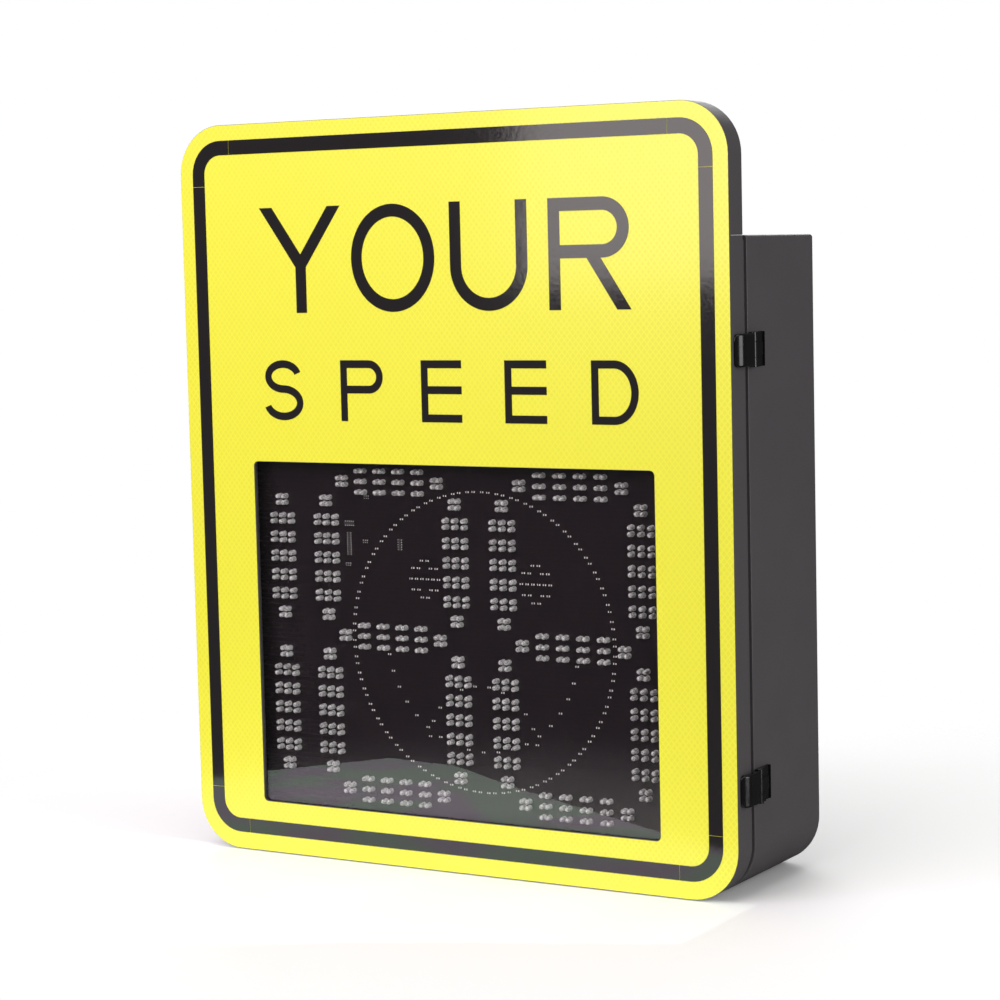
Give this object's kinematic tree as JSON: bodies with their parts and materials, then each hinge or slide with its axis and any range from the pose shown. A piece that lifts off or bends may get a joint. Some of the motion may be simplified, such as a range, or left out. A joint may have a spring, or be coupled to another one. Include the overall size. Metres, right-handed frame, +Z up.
{
  "type": "solar speed sign",
  "caption": "Pole-mounted speed feedback sign: bordered bright face with a digit window on a hinged front door, over a shallow case with side latches.",
  "frame": {"origin": "centre of the four pole bolts, on the rear face of the mounting rails", "axes": "front faces -Y, +X to the right seen from the front, +Z up"},
  "size_m": [0.6553, 0.2128, 0.762],
  "materials": {
    "sheeting": "fluorescent yellow-green prismatic sheeting",
    "plate": "mill finish",
    "black_film": "glossy black cut film",
    "rubber": "moulded EPDM",
    "clear_pane": "clear polycarbonate",
    "coated_metal": "satin black powder coat",
    "zinc_steel": "zinc plated",
    "board": "black solder mask",
    "led_lens": "clear epoxy lens",
    "emblem_chip": "clear resin on tinned ends",
    "package": "moulded epoxy",
    "radar_cover": "moulded cover",
    "black_plastic": "moulded nylon",
    "rocker_red": "moulded",
    "battery_case": "moulded ABS",
    "lead": "lead alloy",
    "wire": "PVC insulation",
    "controller_case": "painted aluminium",
    "terminal_green": "moulded polyamide",
    "rail_metal": "satin black powder coat",
    "brass_stud": "turned"
  },
  "bodies": {
    "case": {"rear_case": "coated_metal", "door_gasket": "rubber", "hinge_case_leaves": "black_plastic", "case_rivets": "zinc_steel", "hinge_pins": "zinc_steel", "latch_bases": "black_plastic", "latch_pins": "zinc_steel", "equipment_panel": "zinc_steel", "panel_spacers": "zinc_steel", "panel_nuts": "zinc_steel", "battery": "battery_case", "battery_terminals": "lead", "battery_tray": "plate", "battery_strap": "zinc_steel", "battery_leads": "wire", "charge_controller": "controller_case", "charge_terminals": "terminal_green", "control_board": "board", "control_chips": "package", "control_standoffs": "zinc_steel", "terminal_block": "terminal_green", "fuse_holder": "black_plastic", "switch_housing": "black_plastic", "cable_glands": "black_plastic", "gland_nuts": "black_plastic", "vent_plug": "black_plastic", "mounting_rails": "rail_metal", "rail_bolts": "zinc_steel", "rail_nuts": "zinc_steel", "earth_stud": "brass_stud"},
    "door": {"sign_plate": "coated_metal", "reflective_sheet": "sheeting", "border_tape": "black_film", "legend_upper": "black_film", "legend_lower": "black_film", "window_gasket": "rubber", "window_pane": "clear_pane", "window_retainer": "coated_metal", "door_frame": "coated_metal", "upper_tray": "coated_metal", "plate_studs": "zinc_steel", "plate_nuts": "zinc_steel", "display_board": "board", "board_standoffs": "zinc_steel", "board_screws": "zinc_steel", "leds_left_digit": "led_lens", "leds_middle_digit": "led_lens", "leds_right_digit": "led_lens", "emblem_leds": "emblem_chip", "board_chips": "package", "display_plug": "package", "radar_module": "radar_cover", "radar_bracket": "plate", "radar_screws": "zinc_steel", "hinge_door_leaves": "black_plastic", "door_rivets": "zinc_steel", "latch_keepers": "black_plastic"},
    "latch_upper": {"latch_lever_upper": "black_plastic"},
    "latch_lower": {"latch_lever_lower": "black_plastic"},
    "rocker": {"switch_rocker": "rocker_red"}
  },
  "joints": [
    {"name": "door_hinge", "type": "hinge", "parent": "case", "child": "door", "pos_m": [-0.3245, -0.1815, 0], "axis": [0, 0, -1], "range_deg": [0, 110]},
    {"name": "latch_upper_swing", "type": "hinge", "parent": "case", "child": "latch_upper", "pos_m": [0.322, -0.1725, 0.2095], "axis": [0, 0, 1], "range_deg": [0, 100]},
    {"name": "latch_lower_swing", "type": "hinge", "parent": "case", "child": "latch_lower", "pos_m": [0.322, -0.1725, -0.2095], "axis": [0, 0, 1], "range_deg": [0, 100]},
    {"name": "power_rocker", "type": "hinge", "parent": "case", "child": "rocker", "pos_m": [0.228, -0.0605, -0.06], "axis": [1, 0, 0], "range_deg": [-12, 12]}
  ]
}
